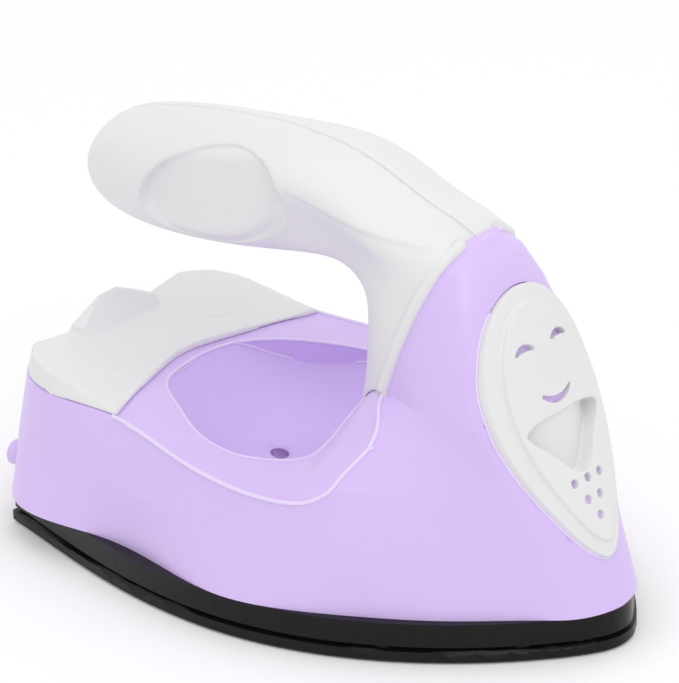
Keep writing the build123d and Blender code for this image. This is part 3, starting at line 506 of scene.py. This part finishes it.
# %% [markdown]
# Injection moulded plastic is never perfectly even. It has a very fine grain from the mould, and
# its gloss wanders a little. Several finishes share that, so it is one node group with named
# inputs, and each finish sets its own values.

# %% Node group for the fine grain of a moulding
def new_group(name, inputs, outputs):
    """Empty shader group with named sockets."""
    group = bpy.data.node_groups.new(name, "ShaderNodeTree")
    for label, kind, value in inputs:
        socket = group.interface.new_socket(name=label, in_out="INPUT", socket_type=kind)
        socket.default_value = value
    for label, kind in outputs:
        group.interface.new_socket(name=label, in_out="OUTPUT", socket_type=kind)
    start = group.nodes.new("NodeGroupInput")
    end = group.nodes.new("NodeGroupOutput")
    return group, start, end


FLOAT = "NodeSocketFloat"
COLOUR = "NodeSocketColor"

def blend_by(group, given, made, colour_mask, gloss_mask):
    """Mix the two colours of a group by one mask and swing its gloss by another."""
    tint = group.nodes.new("ShaderNodeMix")
    tint.data_type = "RGBA"
    swing = group.nodes.new("ShaderNodeMath")
    swing.operation = "MULTIPLY_ADD"
    join = group.links.new
    join(colour_mask, tint.inputs[0])
    join(given.outputs["Colour"], tint.inputs[6])
    join(given.outputs["Shade"], tint.inputs[7])
    join(gloss_mask, swing.inputs[0])
    join(given.outputs["Gloss range"], swing.inputs[1])
    join(given.outputs["Gloss"], swing.inputs[2])
    join(tint.outputs[2], made.inputs["Colour"])
    join(swing.outputs["Value"], made.inputs["Roughness"])


moulded, given, made = new_group(
    "moulded_grain",
    [
        ("Colour", COLOUR, (0.8, 0.8, 0.8, 1)),
        ("Shade", COLOUR, (0.7, 0.7, 0.7, 1)),
        ("Gloss", FLOAT, 0.3),
        ("Gloss range", FLOAT, 0.06),
        ("Grain size", FLOAT, 2500.0),
    ],
    [("Colour", COLOUR), ("Roughness", FLOAT), ("Height", FLOAT)],
)
place = moulded.nodes.new("ShaderNodeTexCoord")
grain = moulded.nodes.new("ShaderNodeTexNoise")
grain.inputs["Detail"].default_value = 3.0
cloud = moulded.nodes.new("ShaderNodeTexNoise")
cloud.inputs["Scale"].default_value = 45.0
cloud.inputs["Detail"].default_value = 4.0
link = moulded.links.new
link(place.outputs["Object"], grain.inputs["Vector"])
link(place.outputs["Object"], cloud.inputs["Vector"])
link(given.outputs["Grain size"], grain.inputs["Scale"])
blend_by(moulded, given, made, cloud.outputs["Fac"], cloud.outputs["Fac"])
link(grain.outputs["Fac"], made.inputs["Height"])
print("group", moulded.name, "has", len(moulded.nodes), "nodes")

# %% [markdown]
# A small function turns the group into a material. The bump is far below a tenth of a
# millimetre, because a smooth moulding only breaks up its highlight and shows no pattern.

# %% Moulded plastics
def screen(red, green, blue):
    """Scene-linear colour from the red, green and blue of a screen."""
    shares = [part / 255 for part in (red, green, blue)]
    return tuple(s / 12.92 if s <= 0.04045 else ((s + 0.055) / 1.055) ** 2.4 for s in shares) + (1.0,)


moulding_relief = 0.00004
metal_relief = 0.00002
metal_bump = 0.15
coat_roughness = 0.12


def group_material(name, group_tree, values, bump, relief_depth):
    """Material that a node group feeds with colour, roughness and height, and its shader."""
    material = bpy.data.materials.new(name)
    material.use_nodes = True
    tree = material.node_tree
    shader = tree.nodes["Principled BSDF"]
    group = tree.nodes.new("ShaderNodeGroup")
    group.node_tree = group_tree
    for label, value in values.items():
        group.inputs[label].default_value = value
    relief = tree.nodes.new("ShaderNodeBump")
    relief.inputs["Strength"].default_value = bump
    relief.inputs["Distance"].default_value = relief_depth
    tree.links.new(group.outputs["Colour"], shader.inputs["Base Color"])
    tree.links.new(group.outputs["Roughness"], shader.inputs["Roughness"])
    tree.links.new(group.outputs["Height"], relief.inputs["Height"])
    tree.links.new(relief.outputs["Normal"], shader.inputs["Normal"])
    return material, shader


def moulding(name, colour, shade, gloss, bump, coat=0.0, grain_size=2500.0, shine=0.5):
    """Material of a moulded plastic or a coated casting."""
    values = {"Colour": colour, "Shade": shade, "Gloss": gloss, "Grain size": grain_size}
    material, shader = group_material(name, moulded, values, bump, moulding_relief)
    shader.inputs["Coat Weight"].default_value = coat
    shader.inputs["Coat Roughness"].default_value = coat_roughness
    shader.inputs["Specular IOR Level"].default_value = shine
    return material


outer = {
    "lavender_plastic": (screen(225, 200, 254), screen(220, 194, 251), 0.34, 0.12, 0.15),
    "white_plastic": (screen(238, 238, 238), screen(233, 233, 234), 0.38, 0.12, 0.1),
    "shield_black": (screen(15, 15, 16), screen(11, 11, 12), 0.20, 0.1, 0.0, 2500.0, 0.22),
    "sole_coating": (screen(20, 20, 22), screen(15, 15, 17), 0.28, 0.35, 0.0, 4200.0, 0.22),
}
finishes = {name: moulding(name, *values) for name, values in outer.items()}
print("outer finishes:", ", ".join(finishes))

# %% [markdown]
# The pieces inside are ceramic, mica, phenolic moulding, a green board and silicone sleeves. They
# are duller and coarser than the outside, so the same group serves them with other values.

# %% Inner plastics, ceramics and sleeves
inner = {
    "ceramic": (screen(236, 231, 218), screen(222, 216, 200), 0.62, 0.5, 0.0, 1800.0),
    "mica": (screen(176, 152, 104), screen(132, 108, 66), 0.36, 0.5, 0.2, 500.0),
    "phenolic": (screen(78, 44, 32), screen(58, 32, 24), 0.42, 0.4, 0.0, 2200.0),
    "board_green": (screen(44, 118, 74), screen(36, 100, 62), 0.30, 0.2, 0.3, 3000.0),
    "resistor_body": (screen(214, 190, 148), screen(196, 170, 126), 0.35, 0.2, 0.2),
    "lead_insulation": (screen(226, 226, 222), screen(212, 212, 207), 0.50, 0.3),
}
for name, values in inner.items():
    finishes[name] = moulding(name, *values)
print("inner finishes:", ", ".join(inner))

# %% [markdown]
# Metal is different: it has no colour of its own under the surface, so Metallic is one and the
# colour tints the reflection. Rolled and drawn parts carry fine lines, which come from a noise
# that is squeezed along one axis. A second, larger noise makes the dull patches of handling.

# %% Node group for drawn and plated metal
metal, given, made = new_group(
    "drawn_metal",
    [
        ("Colour", COLOUR, (0.7, 0.7, 0.7, 1)),
        ("Shade", COLOUR, (0.5, 0.5, 0.5, 1)),
        ("Gloss", FLOAT, 0.3),
        ("Gloss range", FLOAT, 0.25),
        ("Line size", FLOAT, 1.0),
    ],
    [("Colour", COLOUR), ("Roughness", FLOAT), ("Height", FLOAT)],
)
place = metal.nodes.new("ShaderNodeTexCoord")
squeeze = metal.nodes.new("ShaderNodeMapping")
squeeze.inputs["Scale"].default_value = (60.0, 3000.0, 1500.0)
lines = metal.nodes.new("ShaderNodeTexNoise")
lines.inputs["Detail"].default_value = 2.0
patches = metal.nodes.new("ShaderNodeTexNoise")
patches.inputs["Scale"].default_value = 220.0
patches.inputs["Detail"].default_value = 5.0
link = metal.links.new
link(place.outputs["Object"], squeeze.inputs["Vector"])
link(squeeze.outputs["Vector"], lines.inputs["Vector"])
link(given.outputs["Line size"], lines.inputs["Scale"])
link(place.outputs["Object"], patches.inputs["Vector"])
blend_by(metal, given, made, patches.outputs["Fac"], lines.outputs["Fac"])
link(lines.outputs["Fac"], made.inputs["Height"])
print("group", metal.name, "has", len(metal.nodes), "nodes")


# %% Metals
def metal_finish(name, colour, shade, gloss):
    """Material of a drawn, rolled or plated metal."""
    values = {"Colour": colour, "Shade": shade, "Gloss": gloss}
    material, shader = group_material(name, metal, values, metal_bump, metal_relief)
    shader.inputs["Metallic"].default_value = 1.0
    return material


metals = {
    "zinc_steel": (screen(205, 205, 202), screen(176, 177, 178), 0.22),
    "element_steel": (screen(140, 128, 118), screen(96, 88, 92), 0.35),
    "brass": (screen(222, 190, 112), screen(198, 160, 84), 0.20),
    "cup_aluminium": (screen(224, 225, 228), screen(200, 201, 205), 0.26),
    "bimetal": (screen(206, 178, 150), screen(176, 150, 128), 0.24),
}
for name, values in metals.items():
    finishes[name] = metal_finish(name, *values)
print("metals:", ", ".join(metals))

# %% [markdown]
# The lamp is a clear red lens. It lets some light through, so it needs transmission.

# %% Red lens
lens = moulding("lamp", screen(226, 60, 52), screen(204, 36, 34), 0.10, 0.0)
lens.node_tree.nodes["Principled BSDF"].inputs["Transmission Weight"].default_value = 0.55
finishes["lamp"] = lens
print("finishes:", ", ".join(sorted(finishes)))

# %% [markdown]
# The raised rims catch the light as pale lines, so they get the lavender in a lighter tone: a painted
# highlight on the same lavender plastic.

# %% Painted highlight of the rims, a paler lavender
rim_painted_highlight = moulding("lavender_rim_painted_highlight", screen(240, 228, 255), screen(234, 220, 253), 0.25, 0.05, 0.2)
print("rim finish", rim_painted_highlight.name)

# %% [markdown]
# Each node of the frame gets the finish that its slot names. The copies and the added pieces get
# theirs from a short list, and the rims get the paler lavender of the painted highlight.

# %% Dress every node and piece
for entry in frame["record"]["subparts"]:
    mesh = nodes[entry["node"]].data
    mesh.materials.clear()
    mesh.materials.append(finishes[entry["material_slot"]])
dressed = [
    (finishes["lavender_plastic"], [housing, windows]),
    (finishes["white_plastic"], [cap, grip_left, grip_right, face_panel, border]),
    (finishes["sole_coating"], [plate]),
    (finishes["shield_black"], [skirt]),
    # the rims get a paler lavender, a painted highlight
    (rim_painted_highlight, [deck_rim, dish_rim, seat_rim]),
]
for finish, pieces in dressed:
    for piece in pieces:
        piece.data.materials.clear()
        piece.data.materials.append(finish)
print("dressed pieces:", sum(len(pieces) for finish, pieces in dressed))

# %% [markdown]
# The iron stands on a plain pale floor in an even white room. The floor is one large plane, which is
# not part of the object. Straight at the camera, in glossy reflections and through clear pieces the
# room is pure white, as in the photograph. For all other light it is a little dimmer, so that the
# white pieces keep their shading.

# %% Floor and room
def bright_rays(tree):
    """Socket that is one for camera, glossy and transmission rays and zero for all others."""
    rays = tree.nodes.new("ShaderNodeLightPath")
    direct = tree.nodes.new("ShaderNodeMath")
    direct.operation = "MAXIMUM"
    clear = tree.nodes.new("ShaderNodeMath")
    clear.operation = "MAXIMUM"
    tree.links.new(rays.outputs["Is Camera Ray"], direct.inputs[0])
    tree.links.new(rays.outputs["Is Glossy Ray"], direct.inputs[1])
    tree.links.new(direct.outputs["Value"], clear.inputs[0])
    tree.links.new(rays.outputs["Is Transmission Ray"], clear.inputs[1])
    return clear.outputs["Value"]


floor_lift = 0.12
room_dimmed = 0.79
room_white = 1.0
bpy.ops.mesh.primitive_plane_add(size=6, location=(0, 0, -0.0001))
floor = bpy.context.object
floor.name = "floor"
floor_finish = bpy.data.materials.new("pale_floor")
floor_finish.use_nodes = True
tree = floor_finish.node_tree
shader = tree.nodes["Principled BSDF"]
shader.inputs["Base Color"].default_value = (0.92, 0.92, 0.92, 1)
shader.inputs["Roughness"].default_value = 0.9
shader.inputs["Specular IOR Level"].default_value = 0.1
shader.inputs["Emission Color"].default_value = (1, 1, 1, 1)
lift = tree.nodes.new("ShaderNodeMath")
lift.operation = "MULTIPLY"
lift.inputs[1].default_value = floor_lift
tree.links.new(bright_rays(tree), lift.inputs[0])
tree.links.new(lift.outputs["Value"], shader.inputs["Emission Strength"])
floor.data.materials.append(floor_finish)

world = bpy.data.worlds.new("soft_room")
bpy.context.scene.world = world
world.use_nodes = True
sky = world.node_tree.nodes["Background"]
sky.inputs["Color"].default_value = (1, 1, 1, 1)
level = world.node_tree.nodes.new("ShaderNodeMapRange")
level.inputs["To Min"].default_value = room_dimmed
level.inputs["To Max"].default_value = room_white
world.node_tree.links.new(bright_rays(world.node_tree), level.inputs["Value"])
world.node_tree.links.new(level.outputs["Result"], sky.inputs["Strength"])
print("room light", room_dimmed, "to", room_white)


# %% [markdown]
# Two large soft lamps add a little direction. The stronger one stands on the viewer's side and
# the other hangs over the heel, so the top of the handle is the brightest place.

# %% Lamps
def soft_lamp(name, place, aim, size, power):
    """Square area lamp that looks at a point."""
    bpy.ops.object.light_add(type="AREA", location=place)
    lamp = bpy.context.object
    lamp.name = name
    lamp.data.size = size
    lamp.data.energy = power
    lamp.rotation_euler = (Vector(aim) - Vector(place)).to_track_quat("-Z", "Y").to_euler()
    print("lamp", name, "gives", power, "watts")


lamp_aim = (0, 0, 0.03)
soft_lamp("key", (0.5, -0.35, 0.75), lamp_aim, 0.5, 1.3)
soft_lamp("top", (-0.1, 0.1, 0.9), lamp_aim, 0.7, 1.0)

# %% [markdown]
# The camera stands where the photograph was taken. Its place, its turn and its long lens come
# from tracing the plate, the deck, the panel and the handle in the photograph and solving for
# the one view in which all of them fit. The focal length and the side are in pixels.

# %% Camera
turn = 0.70707
rise = 0.42228
roll = -0.03266
distance = 0.976494
focal_length = 5275.249
picture_side = 683
sensor_width = 36
aim = at(-1.789, -1.649, 44.023)
back = Vector((sin(turn) * cos(rise), -cos(turn) * cos(rise), sin(rise)))
right = Vector((cos(turn), sin(turn), 0))
up = back.cross(right)
right, up = right * cos(roll) + up * sin(roll), up * cos(roll) - right * sin(roll)
bpy.ops.object.camera_add()
camera = bpy.context.object
stand = Matrix.Translation(aim + back * distance)
camera.matrix_world = stand @ Matrix((right, up, back)).transposed().to_4x4()
camera.data.lens = focal_length * sensor_width / picture_side
camera.data.sensor_width = sensor_width
camera.data.clip_start = 0.05
camera.data.clip_end = 50
bpy.context.scene.camera = camera
bpy.context.scene.view_settings.view_transform = "Standard"
print("lens", round(camera.data.lens, 2), "mm")
